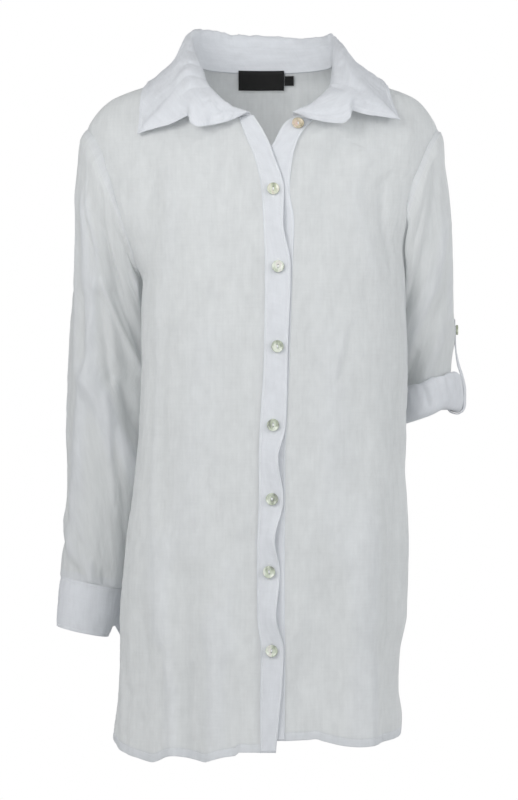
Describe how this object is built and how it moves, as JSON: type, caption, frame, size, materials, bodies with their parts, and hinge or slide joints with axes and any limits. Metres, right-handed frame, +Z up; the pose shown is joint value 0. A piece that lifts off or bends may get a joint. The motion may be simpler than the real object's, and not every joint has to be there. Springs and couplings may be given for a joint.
{
  "type": "linen shirt",
  "caption": "Long button-front linen shirt in hollow worn form, with a turned-down collar, one long cuffed sleeve and one sleeve rolled up under a strap.",
  "frame": {"origin": "midway between the neck ends of the two shoulder seams, where the worn shirt is held up", "axes": "+Z up along the worn shirt's length, front towards -Y, +X towards the wearer's left"},
  "size_m": [0.485, 0.2931, 0.8495],
  "materials": {
    "linen": "washed plain-weave linen, semi-sheer, matt",
    "shell": "mother-of-pearl shell, polished",
    "label": "black woven tape, bare"
  },
  "bodies": {
    "root": {"back": "linen", "front_right": "linen", "front_left": "linen", "placket_right": "linen", "placket_left": "linen", "collar_stand": "linen", "collar_leaf": "linen", "sleeve_right": "linen", "cuff_right": "linen", "sleeve_left": "linen", "roll_left": "linen", "tab_left": "linen", "neck_label": "label", "size_label": "label", "button_1": "shell", "button_2": "shell", "button_3": "shell", "button_4": "shell", "button_5": "shell", "button_6": "shell", "button_7": "shell", "button_neck": "shell", "button_tab_left": "shell"}
  },
  "joints": []
}
